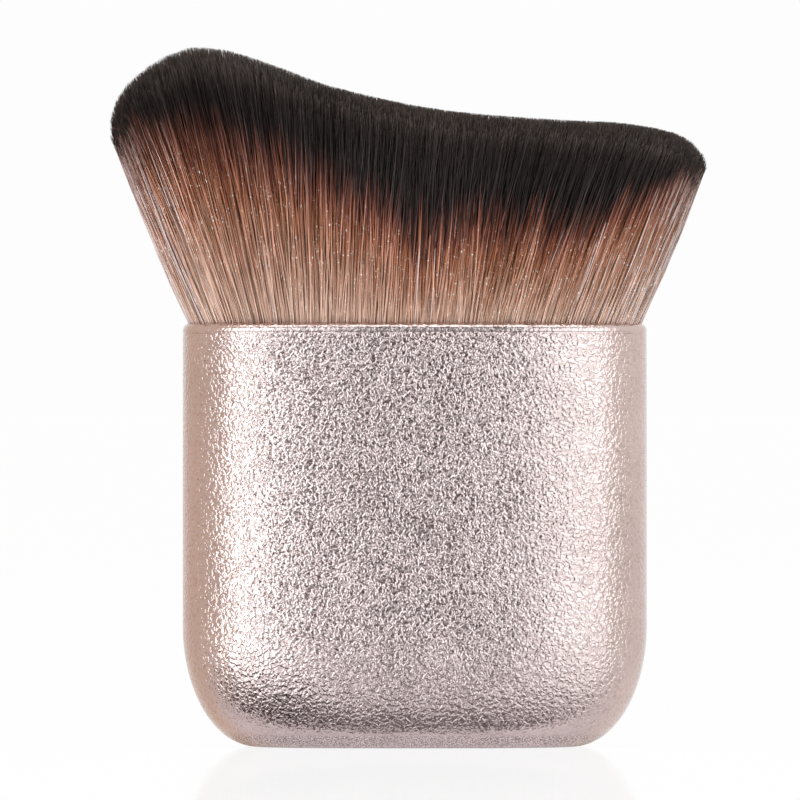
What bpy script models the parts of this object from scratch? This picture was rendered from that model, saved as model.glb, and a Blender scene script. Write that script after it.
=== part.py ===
"""A short, wide makeup brush: a metallised handle shell, closed at the base and open at the
mouth, with a cup of potted bristles that fan out to a wave-shaped top.

Metres, +Z up. The origin is the middle of the flat base. X runs along the wide side, and Y
from the front of the brush to its back.
"""

import math
import random

import bmesh
import bpy
from mathutils import Vector

# Handle shell: one moulding, with a plan section between an ellipse and a rectangle
HANDLE_WIDTH = 0.0598
HANDLE_DEPTH = 0.0270
HANDLE_HEIGHT = 0.0545
SECTION_POWER = 3.0  # 2 is an ellipse, and more is squarer
SHELL_WALL = 0.0016
SHELL_FLOOR = 0.0030
LEDGE_WIDTH = 0.0012  # the wall is this much thicker below the cup
BASE_ROUND_WIDTH = 0.0094
BASE_ROUND_DEPTH = 0.0060
BASE_ROUND_HEIGHT = 0.0155
LIP_ROUND_WIDTH = 0.0010
LIP_ROUND_HEIGHT = 0.0012

# Stiffening ribs inside the shell's two long walls
RIB_PLACES_SHARES = (-0.5, 0.0, 0.5)  # of the cavity's half width
RIB_THICKNESS = 0.0012
RIB_DEPTH = 0.0014
RIB_ROOT = 0.0004  # how far a rib is sunk in its wall
RIB_TOP_DROP = 0.0008

# Ballast slug on its glue pad, on the shell's floor
BALLAST_MARGIN = 0.0030  # from the slug's foot to the shell's rounded wall
BALLAST_HEIGHT = 0.0070
BALLAST_EDGE = 0.0008
PAD_MARGIN = 0.0020
PAD_THICKNESS = 0.0008

# Cup that holds the bristles, and the glue bead that seats it on the shell's ledge
CUP_HEIGHT = 0.0140
CUP_WALL = 0.0004
CUP_FLOOR = 0.0008
BEAD_THICKNESS = 0.0006
BEAD_WIDTH = 0.0007

# Band round the roots of the bristles
BAND_HEIGHT = 0.0040
BAND_THICKNESS = 0.0005
BAND_FOOT = 0.0020  # resin below the band's groove

# Bristles: columns of strands in side by side tufts, each potted in its slice of resin
TUFT_COUNT = 9
TUFT_COLUMNS = 4
ROW_PITCH = 0.0018
STRAND_GAP = 0.0004
STRAND_EDGE = 0.0002  # from the resin's side to the outermost strands
END_INSET = 0.0009  # the end columns stop this far short of the bundle's tip
STRAND_SEAT = 0.0012  # length of a strand that is sunk in the resin
STRAND_TAPER = 0.0050
STRAND_LEAN_SHARE = 0.5  # of the gap: how far the rows lean left and right in turn
STRAND_SWAY_SHARE = 0.2  # of the gap: how far a strand strays forwards or back
STRAND_UNEVEN = 0.0005  # how far its tip strays up or down
SWAY_SEED = 7
FAN_SLOPE_WIDE = 0.455  # how far the end bristles lean outwards for each unit of height
FAN_SLOPE_DEEP = 0.25
HAIR_HEIGHT = 0.0355  # from the handle's lip to the top of the wave
CROWN_DROP = 0.0032  # the front and back bristles are this much shorter
CROWN_POWER = 4.0

# The wave along the top: (share of the half width, share of the hair height)
CREST_SHARES = (
    (-1.00, 0.655),
    (-0.95, 0.785),
    (-0.86, 0.885),
    (-0.74, 0.968),
    (-0.62, 1.000),
    (-0.48, 0.963),
    (-0.30, 0.880),
    (-0.10, 0.812),
    (0.12, 0.770),
    (0.40, 0.745),
    (0.68, 0.725),
    (0.84, 0.697),
    (0.94, 0.640),
    (1.00, 0.560),
)

FIT_GAP = 0.0003  # between pieces that touch on the real brush
CUT_OVERRUN = 0.0005  # how far a cutter reaches past what it cuts
SHELL_POINTS = 64  # points round the shell's section
INNER_POINTS = 48  # points round the hidden pieces' sections
ROUND_STEPS = 6
ARC_STEPS = 6

# Colours, read from the photograph
CHAMPAGNE = (0.74, 0.60, 0.56, 1.0)
BRISTLE_BROWN = (0.33, 0.19, 0.14, 1.0)
CUP_GREY = (0.66, 0.66, 0.68, 1.0)
STEEL_GREY = (0.42, 0.42, 0.43, 1.0)
GLUE_AMBER = (0.80, 0.74, 0.60, 1.0)
BAND_COPPER = (0.72, 0.42, 0.28, 1.0)


class Section:
    """A plan section: a superellipse round the Z axis."""

    def __init__(self, half_width, half_depth):
        self.half_width = half_width
        self.half_depth = half_depth

    def inside(self, width_inset, depth_inset=None):
        """The section that lies this far inside this one."""
        depth_inset = width_inset if depth_inset is None else depth_inset
        return Section(self.half_width - width_inset, self.half_depth - depth_inset)

    def at_angle(self, angle, z):
        """The point of the outline at this angle, at height z."""
        across, along = math.cos(angle), math.sin(angle)
        power = 2 / SECTION_POWER
        x = self.half_width * math.copysign(abs(across) ** power, across)
        y = self.half_depth * math.copysign(abs(along) ** power, along)
        return Vector((x, y, z))

    def ring(self, z, count):
        """The whole outline at height z."""
        return [self.at_angle(math.tau * i / count, z) for i in range(count)]

    def half_chord(self, x):
        """Half the section's depth at x."""
        share = min(abs(x) / self.half_width, 1.0)
        return self.half_depth * (1 - share**SECTION_POWER) ** (1 / SECTION_POWER)

    def angle_of(self, x):
        """The angle, from 0 to pi, at which the outline passes x."""
        share = max(-1.0, min(1.0, x / self.half_width))
        return math.acos(math.copysign(abs(share) ** (SECTION_POWER / 2), share))

    def slice_ring(self, low, high, z):
        """The outline of the part of the section between x = low and x = high."""
        start, end = self.angle_of(high), self.angle_of(low)
        turn = (end - start) / ARC_STEPS
        back = [self.at_angle(start + turn * i, z) for i in range(ARC_STEPS + 1)]
        front = [Vector((p.x, -p.y, z)) for p in reversed(back)]
        if low <= -self.half_width:
            front = front[1:]
        if high >= self.half_width:
            front = front[:-1]
        return back + front


def collection(name):
    made = bpy.data.collections.new(name)
    bpy.context.scene.collection.children.link(made)
    return made


def material(name, colour, roughness, metallic):
    made = bpy.data.materials.new(name)
    made.use_nodes = True
    shader = made.node_tree.nodes["Principled BSDF"]
    shader.inputs["Base Color"].default_value = colour
    shader.inputs["Roughness"].default_value = roughness
    shader.inputs["Metallic"].default_value = metallic
    return made


def mesh_object(name, bm, home, finish=None):
    """Turns a bmesh into an object of this collection, smooth but for its sharp edges."""
    bmesh.ops.recalc_face_normals(bm, faces=bm.faces)
    mesh = bpy.data.meshes.new(name)
    bm.to_mesh(mesh)
    bm.free()
    mesh.shade_smooth()
    mesh.set_sharp_from_angle(angle=math.radians(35))
    made = bpy.data.objects.new(name, mesh)
    if finish:
        mesh.materials.append(finish)
    home.objects.link(made)
    return made


def loft(rings, closed=False):
    """A solid through rings of equally many points. It is capped at both ends, or closed
    from its last ring back to its first."""
    bm = bmesh.new()
    loops = [[bm.verts.new(point) for point in ring] for ring in rings]
    pairs = list(zip(loops, loops[1:]))
    if closed:
        pairs.append((loops[-1], loops[0]))
    else:
        bm.faces.new(loops[0])
        bm.faces.new(loops[-1])
    for low, high in pairs:
        for i in range(len(low)):
            after = (i + 1) % len(low)
            bm.faces.new((low[i], low[after], high[after], high[i]))
    return bm


def combine(target, tool, operation):
    """Adds a helper object to target, or cuts it out."""
    tool.hide_render = True
    tool.display_type = "WIRE"
    step = target.modifiers.new(tool.name, "BOOLEAN")
    step.operation = operation
    step.object = tool


def smooth_share(shares, at):
    """Reads a table of (place, share) as one smooth curve through its points."""
    last = len(shares) - 2
    i = min(last, max(0, sum(place <= at for place, _ in shares) - 1))

    def slope(k):
        (x0, y0), (x1, y1) = shares[max(k - 1, 0)], shares[min(k + 1, last + 1)]
        return (y1 - y0) / (x1 - x0)

    (start, low), (end, high) = shares[i], shares[i + 1]
    run = end - start
    t = min(max((at - start) / run, 0.0), 1.0)
    return (
        low * (1 + 2 * t) * (1 - t) ** 2
        + high * t * t * (3 - 2 * t)
        + run * slope(i) * t * (1 - t) ** 2
        - run * slope(i + 1) * t * t * (1 - t)
    )


# Sections and heights that several pieces share
handle = Section(HANDLE_WIDTH / 2, HANDLE_DEPTH / 2)
mouth = handle.inside(SHELL_WALL)
cavity = mouth.inside(LEDGE_WIDTH)
cup_outside = mouth.inside(FIT_GAP)
cup_inside = cup_outside.inside(CUP_WALL)
resin = cup_inside.inside(FIT_GAP)
roots = resin.inside(STRAND_EDGE)

# The end bristles clear the lip's inner edge, so their lean sets how deep the resin lies
mouth_run = handle.half_width - LIP_ROUND_WIDTH - FIT_GAP - roots.half_width
resin_top = HANDLE_HEIGHT - mouth_run / FAN_SLOPE_WIDE
bundle_end = roots.half_width - END_INSET
cup_bottom = resin_top - CUP_HEIGHT
ledge_top = cup_bottom - FIT_GAP - BEAD_THICKNESS - FIT_GAP
resin_bottom = cup_bottom + CUP_FLOOR + FIT_GAP


def base_inset_share(z):
    """How much of the base rounding's width is left at height z, from 1 at the base to 0."""
    drop = max(0.0, 1 - z / BASE_ROUND_HEIGHT)
    return 1 - math.sqrt(1 - drop * drop)


def rounded(section, z):
    """The section as the base rounding leaves it at height z."""
    share = base_inset_share(z)
    return section.inside(BASE_ROUND_WIDTH * share, BASE_ROUND_DEPTH * share)


def rounded_height(inset):
    """The height at which the base rounding takes this much off the section's half depth."""
    left_share = max(0.0, 1 - inset / BASE_ROUND_DEPTH)
    return BASE_ROUND_HEIGHT * (1 - math.sqrt(1 - left_share * left_share))


def handle_shell(home, helpers, finish):
    """Outside of the shell from the base up, over the lip, and down its inside."""
    rings = []
    for step in range(ROUND_STEPS + 1):
        z = BASE_ROUND_HEIGHT * (1 - math.cos(math.pi / 2 * step / ROUND_STEPS))
        rings.append(rounded(handle, z).ring(z, SHELL_POINTS))
    for step in range(ROUND_STEPS // 2 + 1):
        turn = math.pi / 2 * step / (ROUND_STEPS // 2)
        lip = handle.inside(LIP_ROUND_WIDTH * (1 - math.cos(turn)))
        z = HANDLE_HEIGHT - LIP_ROUND_HEIGHT * (1 - math.sin(turn))
        rings.append(lip.ring(z, SHELL_POINTS))
    chamfer = (SHELL_WALL - LIP_ROUND_WIDTH) / FAN_SLOPE_WIDE
    rings.append(mouth.ring(HANDLE_HEIGHT - chamfer, SHELL_POINTS))
    rings.append(mouth.ring(ledge_top, SHELL_POINTS))
    rings.append(cavity.ring(ledge_top, SHELL_POINTS))
    rise = BASE_ROUND_HEIGHT - SHELL_FLOOR
    for step in range(ROUND_STEPS - 1):
        z = SHELL_FLOOR + rise * (1 - step / (ROUND_STEPS - 2)) ** 2
        rings.append(rounded(cavity, z).ring(z, SHELL_POINTS))
    shell = mesh_object("handle_shell", loft(rings), home, finish)
    combine(shell, wall_ribs(helpers), "UNION")
    return shell


def wall_ribs(helpers):
    """The ribs on the front and back walls. Each runs down into the base rounding."""
    bm = bmesh.new()
    foot, top = rounded_height(RIB_DEPTH + RIB_ROOT), ledge_top - RIB_TOP_DROP
    for share in RIB_PLACES_SHARES:
        x = share * cavity.half_width
        wall = cavity.half_chord(abs(x) + RIB_THICKNESS / 2)
        for side in (-1, 1):
            box = bmesh.ops.create_cube(bm, size=1)["verts"]
            middle = side * (wall + (RIB_ROOT - RIB_DEPTH) / 2)
            for corner in box:
                corner.co.x = x + corner.co.x * RIB_THICKNESS
                corner.co.y = middle + corner.co.y * (RIB_DEPTH + RIB_ROOT)
                corner.co.z = top if corner.co.z > 0 else foot
    return mesh_object("wall_ribs", bm, helpers)


def ballast(home, steel, glue):
    """A steel slug with eased edges, on a thin glue pad on the shell's floor."""
    pad_foot = SHELL_FLOOR + FIT_GAP
    pad_top = pad_foot + PAD_THICKNESS
    foot = pad_top + FIT_GAP
    top = foot + BALLAST_HEIGHT
    slug = rounded(cavity, foot).inside(BALLAST_MARGIN)
    pad = slug.inside(PAD_MARGIN)
    pad_rings = [pad.ring(z, INNER_POINTS) for z in (pad_foot, pad_top)]
    mesh_object("ballast_glue_pad", loft(pad_rings), home, glue)
    eased = slug.inside(BALLAST_EDGE)
    slug_rings = [
        eased.ring(foot, INNER_POINTS),
        slug.ring(foot + BALLAST_EDGE, INNER_POINTS),
        slug.ring(top - BALLAST_EDGE, INNER_POINTS),
        eased.ring(top, INNER_POINTS),
    ]
    mesh_object("ballast_weight", loft(slug_rings), home, steel)


def hair_cup(home, finish):
    """A thin drawn cup, filled to its rim with the resin."""
    rings = [
        cup_outside.ring(cup_bottom, INNER_POINTS),
        cup_outside.ring(resin_top, INNER_POINTS),
        cup_inside.ring(resin_top, INNER_POINTS),
        cup_inside.ring(cup_bottom + CUP_FLOOR, INNER_POINTS),
    ]
    mesh_object("hair_cup", loft(rings), home, finish)


def hoop(name, outer, thickness, low, high, home, finish=None):
    """A ring of rectangular section."""
    inner = outer.inside(thickness)
    rings = [
        outer.ring(low, INNER_POINTS),
        outer.ring(high, INNER_POINTS),
        inner.ring(high, INNER_POINTS),
        inner.ring(low, INNER_POINTS),
    ]
    return mesh_object(name, loft(rings, closed=True), home, finish)


def column_pitch():
    """Width of one column of strands where they leave the resin."""
    return 2 * bundle_end / (TUFT_COUNT * TUFT_COLUMNS)


def fan_out(x, y, z):
    """Where a fibre that leaves the resin at x, y is at height z."""
    rise = z - resin_top
    wider = 1 + FAN_SLOPE_WIDE * rise / roots.half_width
    deeper = 1 + FAN_SLOPE_DEEP * rise / roots.half_depth
    return Vector((x * wider, y * deeper, z))


def tip_height(x, y):
    """Height of the wave above the strand that leaves the resin at x, y."""
    crest = smooth_share(CREST_SHARES, x / bundle_end)
    edge = min(1.0, abs(y) / max(roots.half_chord(x), FIT_GAP))
    return HANDLE_HEIGHT + HAIR_HEIGHT * crest - CROWN_DROP * edge**CROWN_POWER


def add_strand(bm, across, along, lean, stray):
    """One lock of bristles: a box whose corners follow the fan, drawn out to a point above
    and run straight down into the resin below. across holds its two sides' places in x, and
    along those of its front and back as shares of the bundle's depth there."""
    box = bmesh.ops.create_cube(bm, size=1)["verts"]
    faces = {face for corner in box for face in corner.link_faces}
    foot, head = (pick(faces, key=lambda face: face.calc_center_median().z) for pick in (min, max))
    upper = list(head.verts)
    x = sum(across) / 2
    y = sum(along) / 2 * roots.half_chord(x)
    tip = tip_height(x, y) + stray.uniform(-STRAND_UNEVEN, STRAND_UNEVEN)
    for corner in box:
        inward = Vector((corner.co.x, corner.co.y, 0)) * STRAND_GAP
        side = across[corner.co.x > 0]
        depth = along[corner.co.y > 0] * roots.half_chord(side)
        z = tip - STRAND_TAPER if corner.co.z > 0 else resin_top
        corner.co = fan_out(side, depth, z) - inward
    point = bmesh.ops.poke(bm, faces=[head])["verts"][0]
    point.co = fan_out(x, y, tip)
    lean *= STRAND_LEAN_SHARE * STRAND_GAP * (1 - (x / bundle_end) ** 2)
    sway = STRAND_SWAY_SHARE * STRAND_GAP
    shift = Vector((lean, stray.uniform(-sway, sway), 0))
    for corner in (point, *upper):
        corner.co += shift
    sunk = bmesh.ops.extrude_discrete_faces(bm, faces=[foot])["faces"][0]
    for corner in sunk.verts:
        corner.co.z -= STRAND_SEAT


def row_edges(row, bricked):
    """Where a row's strands meet, counted in columns. In a bricked tuft every other row is
    set off by half a column, so that no gap is seen through the bundle."""
    if bricked and row % 2:
        return [0, *(column + 0.5 for column in range(TUFT_COLUMNS)), TUFT_COLUMNS]
    return list(range(TUFT_COLUMNS + 1))


def tuft_strands(number, helpers, stray):
    """All strands of this tuft. The end tufts stay in plain columns, because half columns
    would get too thin where the bundle narrows."""
    bm = bmesh.new()
    pitch = column_pitch()
    left = number * TUFT_COLUMNS * pitch - bundle_end
    bricked = 0 < number < TUFT_COUNT - 1
    outermost = max(abs(left), abs(left + TUFT_COLUMNS * pitch)) - pitch / 2
    rows = round(2 * roots.half_chord(outermost) / ROW_PITCH)
    for row in range(rows):
        along = (2 * row / rows - 1, 2 * (row + 1) / rows - 1)
        edges = [left + edge * pitch for edge in row_edges(row, bricked)]
        for across in zip(edges, edges[1:]):
            add_strand(bm, across, along, (-1) ** row, stray)
    return mesh_object(f"strands_{number + 1}", bm, helpers)


def bristle_tufts(home, helpers, finish):
    """The tufts from left to right, each a slice of resin with its strands."""
    groove_foot = resin_bottom + BAND_FOOT
    groove_top = groove_foot + BAND_HEIGHT + 2 * FIT_GAP
    groove_depth = BAND_THICKNESS + FIT_GAP + CUT_OVERRUN
    past = resin.inside(-CUT_OVERRUN)
    groove = hoop("band_groove", past, groove_depth, groove_foot, groove_top, helpers)
    tuft_width = TUFT_COLUMNS * column_pitch()
    stray = random.Random(SWAY_SEED)
    for number in range(TUFT_COUNT):
        left = number * tuft_width - bundle_end
        low = left + FIT_GAP / 2 if number else -resin.half_width
        is_last = number == TUFT_COUNT - 1
        high = resin.half_width if is_last else left + tuft_width - FIT_GAP / 2
        rings = [resin.slice_ring(low, high, z) for z in (resin_bottom, resin_top)]
        tuft = mesh_object(f"bristle_tuft_{number + 1}", loft(rings), home, finish)
        combine(tuft, groove, "DIFFERENCE")
        combine(tuft, tuft_strands(number, helpers, stray), "UNION")


def main():
    for old in list(bpy.data.objects):
        bpy.data.objects.remove(old)
    brush = collection("makeup_brush")
    helpers = collection("helpers")
    plated = material("champagne plating", CHAMPAGNE, 0.28, 1.0)
    hair = material("dip dyed bristle", BRISTLE_BROWN, 0.55, 0.0)
    alloy = material("drawn alloy", CUP_GREY, 0.35, 1.0)
    steel = material("ballast steel", STEEL_GREY, 0.45, 1.0)
    glue = material("amber glue", GLUE_AMBER, 0.30, 0.0)
    copper = material("copper band", BAND_COPPER, 0.35, 1.0)

    handle_shell(brush, helpers, plated)
    ballast(brush, steel, glue)
    bead_foot = ledge_top + FIT_GAP
    bead_top = bead_foot + BEAD_THICKNESS
    hoop("cup_glue_bead", cup_outside, BEAD_WIDTH, bead_foot, bead_top, brush, glue)
    hair_cup(brush, alloy)
    band_foot = resin_bottom + BAND_FOOT + FIT_GAP
    band_top = band_foot + BAND_HEIGHT
    hoop("root_band", resin, BAND_THICKNESS, band_foot, band_top, brush, copper)
    bristle_tufts(brush, helpers, hair)


main()
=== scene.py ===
import math

import bmesh
import bpy
import numpy as np
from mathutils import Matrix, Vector


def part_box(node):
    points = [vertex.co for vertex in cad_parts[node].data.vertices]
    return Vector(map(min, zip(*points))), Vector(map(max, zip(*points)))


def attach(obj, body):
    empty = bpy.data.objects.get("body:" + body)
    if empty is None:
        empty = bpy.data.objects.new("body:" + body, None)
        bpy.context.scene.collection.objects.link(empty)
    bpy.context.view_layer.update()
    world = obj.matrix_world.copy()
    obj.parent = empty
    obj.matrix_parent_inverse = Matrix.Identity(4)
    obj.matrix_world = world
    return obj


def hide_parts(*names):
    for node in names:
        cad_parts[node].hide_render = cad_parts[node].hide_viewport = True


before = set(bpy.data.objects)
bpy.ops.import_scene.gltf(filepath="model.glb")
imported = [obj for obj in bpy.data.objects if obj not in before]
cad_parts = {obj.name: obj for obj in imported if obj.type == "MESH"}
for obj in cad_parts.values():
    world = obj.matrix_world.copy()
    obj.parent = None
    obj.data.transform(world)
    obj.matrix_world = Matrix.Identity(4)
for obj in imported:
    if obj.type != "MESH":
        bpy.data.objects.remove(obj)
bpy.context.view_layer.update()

# Handle shell. One hollow moulding in hard plastic, closed and flat at the base, open at the
# mouth and rolled over at its rim. Its worm-like mould grain is vacuum metallised in champagne
# pink. Inside it has six ribs, and a ledge that carries the hair cup.
HALF_WIDTH, HALF_DEPTH, RIM_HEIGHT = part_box("handle_shell")[1]
SECTION_POWER = 3.0
SHELL_WALL = 0.0016
SHELL_FLOOR = 0.0030
LEDGE_WIDTH = 0.0012
FIT_GAP = 0.0003
LEDGE_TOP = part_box("cup_glue_bead")[0].z - FIT_GAP
BASE_ROUND_WIDTH = 0.0094
BASE_ROUND_DEPTH = 0.0060
BASE_ROUND_HEIGHT = 0.0155
RIM_ROUND_WIDTH = 0.0010
RIM_ROUND_HEIGHT = 0.0010
MOUTH_CHAMFER = 0.0013
LIP_HEIGHT = 0.0011
GROOVE_WIDTH = 0.0003
GROOVE_IN = 0.00006
# The groove under the lip: how far down its width, and how far in
GROOVE_SHAPE = ((1.0, 0.0), (0.75, GROOVE_IN), (0.35, GROOVE_IN), (0.1, 0.0))
FOOT_HEIGHT = 0.0014
FOOT_END = 1.4 * FOOT_HEIGHT
RIB_PLACES = (-0.5, 0.0, 0.5)
RIB_THICKNESS = 0.0012
RIB_DEPTH = 0.0014
RIB_ROOT = 0.0004
RIB_TOP_DROP = 0.0008
RIB_FOOT = 0.0060
RING_POINTS = 288
FINE_POINTS = 4096
BASE_STEPS = 28
RIM_STEPS = 8
INSIDE_STEPS = 14
SHARP_ANGLE = math.radians(35)
USUAL = (0.3, 0.7)  # nearly all values of a noise lie between these
GRAIN_WIDTH = 0.000215
GRAIN_RELIEF = 0.000068
GRAIN_TWIST = 0.6
GRIT_FINENESS = 2.7
GRIT_SHARE = 0.22
SMOOTH_SHARE = 0.45  # of the relief, on the lip and the foot
WEAR = (0.94, 1.04)
SPECKLE = (0.42, 1.34)
CLOUD_FINENESS = 90
POLISHED = 0.04
ROUGH_HOLLOW = 0.03
ROUGH_CLOUD = 0.05
ROUGH_LIP = 0.14
CHAMPAGNE = (213, 198, 195)
CHAMPAGNE_HOLLOW_SHADE = (203, 185, 181)


def tone(red, green, blue):
    """A colour as a screen shows it, made into the linear colour that a shader takes."""
    return tuple((part / 255) ** 2.2 for part in (red, green, blue)) + (1.0,)


def put(tree, kind, inputs=(), **settings):
    """Adds a node. Its inputs, by name or number, get a value or a link from a socket."""
    node = tree.nodes.new(kind)
    for name, value in settings.items():
        setattr(node, name, value)
    for key, value in dict(inputs).items():
        if isinstance(value, bpy.types.NodeSocket):
            tree.links.new(value, node.inputs[key])
        else:
            node.inputs[key].default_value = value
    return node


def maths(tree, operation, *values):
    return put(tree, "ShaderNodeMath", enumerate(values), operation=operation).outputs[0]


def xyz(tree, *parts):
    """A vector from its x, y and z. What isn't given is 0."""
    return put(tree, "ShaderNodeCombineXYZ", enumerate(parts)).outputs[0]


def between(tree, value, low, high, to_low=0.0, to_high=1.0):
    """Eases from one value to another while the input goes from low to high."""
    inputs = enumerate((value, low, high, to_low, to_high))
    node = put(tree, "ShaderNodeMapRange", inputs, interpolation_type="SMOOTHSTEP")
    return node.outputs[0]


def mix_value(tree, factor, first, second):
    return put(tree, "ShaderNodeMix", {0: factor, 2: first, 3: second}).outputs[0]


def mixed(tree, factor, first, second, blend="MIX"):
    """Mixes two colours."""
    inputs = {0: factor, 6: first, 7: second}
    node = put(tree, "ShaderNodeMix", inputs, data_type="RGBA", blend_type=blend)
    return node.outputs[2]


def noise(tree, where, scale, **inputs):
    """A soft random value from 0 to 1."""
    inputs = {"Vector": where, "Scale": scale, **inputs}
    return put(tree, "ShaderNodeTexNoise", inputs).outputs[0]


def group(name, inputs, outputs):
    """An empty shader node group with these sockets, and its input and output nodes."""
    tree = bpy.data.node_groups.new(name, "ShaderNodeTree")
    for socket, value in inputs.items():
        made = tree.interface.new_socket(socket, in_out="INPUT", socket_type="NodeSocketFloat")
        made.default_value = value
    for socket in outputs:
        tree.interface.new_socket(socket, in_out="OUTPUT", socket_type="NodeSocketFloat")
    return tree, tree.nodes.new("NodeGroupInput"), tree.nodes.new("NodeGroupOutput")


def place(tree, made, values):
    """Puts a node group in a material with its own values."""
    node = put(tree, "ShaderNodeGroup", (), node_tree=made)
    for name, value in values.items():
        node.inputs[name].default_value = value
    return node


def material(name, **settings):
    """A new material: its tree and its shader, with plain values set on the shader."""
    made = bpy.data.materials.new(name)
    made.use_nodes = True
    shader = made.node_tree.nodes["Principled BSDF"]
    for socket, value in settings.items():
        shader.inputs[socket.replace("_", " ")].default_value = value
    return made, made.node_tree, shader


def outline(half_width, half_depth, z, count=RING_POINTS):
    """Evenly spaced points round a section between an ellipse and a rectangle."""
    turn = np.linspace(0, math.tau, FINE_POINTS + 1)
    across, along = np.cos(turn), np.sin(turn)
    x = half_width * np.sign(across) * np.abs(across) ** (2 / SECTION_POWER)
    y = half_depth * np.sign(along) * np.abs(along) ** (2 / SECTION_POWER)
    run = np.concatenate([[0], np.cumsum(np.hypot(np.diff(x), np.diff(y)))])
    even = np.linspace(0, run[-1], count, endpoint=False)
    return np.column_stack([np.interp(even, run, x), np.interp(even, run, y), np.full(count, z)])


def tidy_mesh(mesh):
    """Turns all faces outwards and shades them smooth, but for sharp edges."""
    bm = bmesh.new()
    bm.from_mesh(mesh)
    bmesh.ops.recalc_face_normals(bm, faces=bm.faces)
    bm.to_mesh(mesh)
    bm.free()
    mesh.shade_smooth()
    mesh.set_sharp_from_angle(angle=SHARP_ANGLE)


def skin(name, rings, closed=False):
    """A solid through rings of equally many points, capped at its ends or closed on itself."""
    count = len(rings[0])
    spans = len(rings) if closed else len(rings) - 1
    faces = []
    for low in range(spans):
        start, after = low * count, (low + 1) % len(rings) * count
        for i in range(count):
            j = (i + 1) % count
            faces.append((start + i, start + j, after + j, after + i))
    if not closed:
        faces.append(tuple(range(count))[::-1])
        faces.append(tuple(range(spans * count, (spans + 1) * count)))
    mesh = bpy.data.meshes.new(name)
    mesh.from_pydata(np.concatenate(rings).tolist(), [], faces)
    tidy_mesh(mesh)
    made = bpy.data.objects.new(name, mesh)
    bpy.context.scene.collection.objects.link(made)
    return made


def final_mesh(made):
    """The object's mesh with its modifiers worked in."""
    bpy.context.view_layer.update()
    graph = bpy.context.evaluated_depsgraph_get()
    shown = made.evaluated_get(graph)
    return bpy.data.meshes.new_from_object(shown, preserve_all_data_layers=True, depsgraph=graph)


def fit(made, finish, slot, *nodes):
    """Gives a piece its material and its place in the brush."""
    made.data.materials.clear()
    made.data.materials.append(finish)
    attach(made, "root")
    if nodes:
        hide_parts(*nodes)


def shell_ring(z, inset=0.0):
    """The shell's outline at height z, this far in from its outside."""
    drop = max(0.0, 1 - z / BASE_ROUND_HEIGHT)
    left = 1 - math.sqrt(1 - drop * drop)
    half_width = HALF_WIDTH - inset - BASE_ROUND_WIDTH * left
    half_depth = HALF_DEPTH - inset - BASE_ROUND_DEPTH * left
    return outline(half_width, half_depth, z)


def handle_rings():
    """Outlines from the base up the outside, over the rim and down the inside."""
    rings = []
    for step in range(BASE_STEPS + 1):
        turn = math.pi / 2 * step / BASE_STEPS
        rings.append(shell_ring(BASE_ROUND_HEIGHT * (1 - math.cos(turn))))
    lip = RIM_HEIGHT - LIP_HEIGHT
    for share, inset in GROOVE_SHAPE:
        rings.append(shell_ring(lip - share * GROOVE_WIDTH, inset))
    for step in range(RIM_STEPS + 1):
        turn = math.pi / 2 * step / RIM_STEPS
        z = RIM_HEIGHT - RIM_ROUND_HEIGHT * (1 - math.sin(turn))
        rings.append(shell_ring(z, RIM_ROUND_WIDTH * (1 - math.cos(turn))))
    inner = SHELL_WALL + LEDGE_WIDTH
    rings.append(shell_ring(RIM_HEIGHT - MOUTH_CHAMFER, SHELL_WALL))
    rings.append(shell_ring(LEDGE_TOP, SHELL_WALL))
    rings.append(shell_ring(LEDGE_TOP, inner))
    rise = BASE_ROUND_HEIGHT - SHELL_FLOOR
    for step in range(INSIDE_STEPS):
        share = 1 - step / (INSIDE_STEPS - 1)
        rings.append(shell_ring(SHELL_FLOOR + rise * share**2, inner))
    return rings


def wall_ribs():
    """The stiffening ribs on the two long walls, as one mesh."""
    inner_width = HALF_WIDTH - SHELL_WALL - LEDGE_WIDTH
    inner_depth = HALF_DEPTH - SHELL_WALL - LEDGE_WIDTH
    bm = bmesh.new()
    for share in RIB_PLACES:
        x = share * inner_width
        edge = (abs(x) + RIB_THICKNESS / 2) / inner_width
        wall = inner_depth * (1 - edge**SECTION_POWER) ** (1 / SECTION_POWER)
        for side in (-1, 1):
            middle = side * (wall + (RIB_ROOT - RIB_DEPTH) / 2)
            for corner in bmesh.ops.create_cube(bm, size=1)["verts"]:
                corner.co.x = x + corner.co.x * RIB_THICKNESS
                corner.co.y = middle + corner.co.y * (RIB_DEPTH + RIB_ROOT)
                corner.co.z = LEDGE_TOP - RIB_TOP_DROP if corner.co.z > 0 else RIB_FOOT
    mesh = bpy.data.meshes.new("wall_ribs")
    bm.to_mesh(mesh)
    bm.free()
    return bpy.data.objects.new("wall_ribs", mesh)


def mould_grain():
    """Worm-like mounds of one width, as an etched mould leaves them."""
    tree, start, end = group("mould grain", {"Width": GRAIN_WIDTH}, ("Mound", "Grit", "Hollow"))
    where = put(tree, "ShaderNodeTexCoord").outputs["Object"]
    fine = maths(tree, "DIVIDE", 0.5, start.outputs["Width"])
    worms = noise(tree, where, fine, Detail=0.4, Roughness=0.4, Distortion=GRAIN_TWIST)
    mound = between(tree, worms, 0.25, 0.75)
    grit = noise(tree, where, maths(tree, "MULTIPLY", fine, GRIT_FINENESS), Detail=1.0)
    hollow = between(tree, mound, 0.45, 0.0)
    tree.links.new(mound, end.inputs["Mound"])
    tree.links.new(grit, end.inputs["Grit"])
    tree.links.new(hollow, end.inputs["Hollow"])
    return tree


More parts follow.
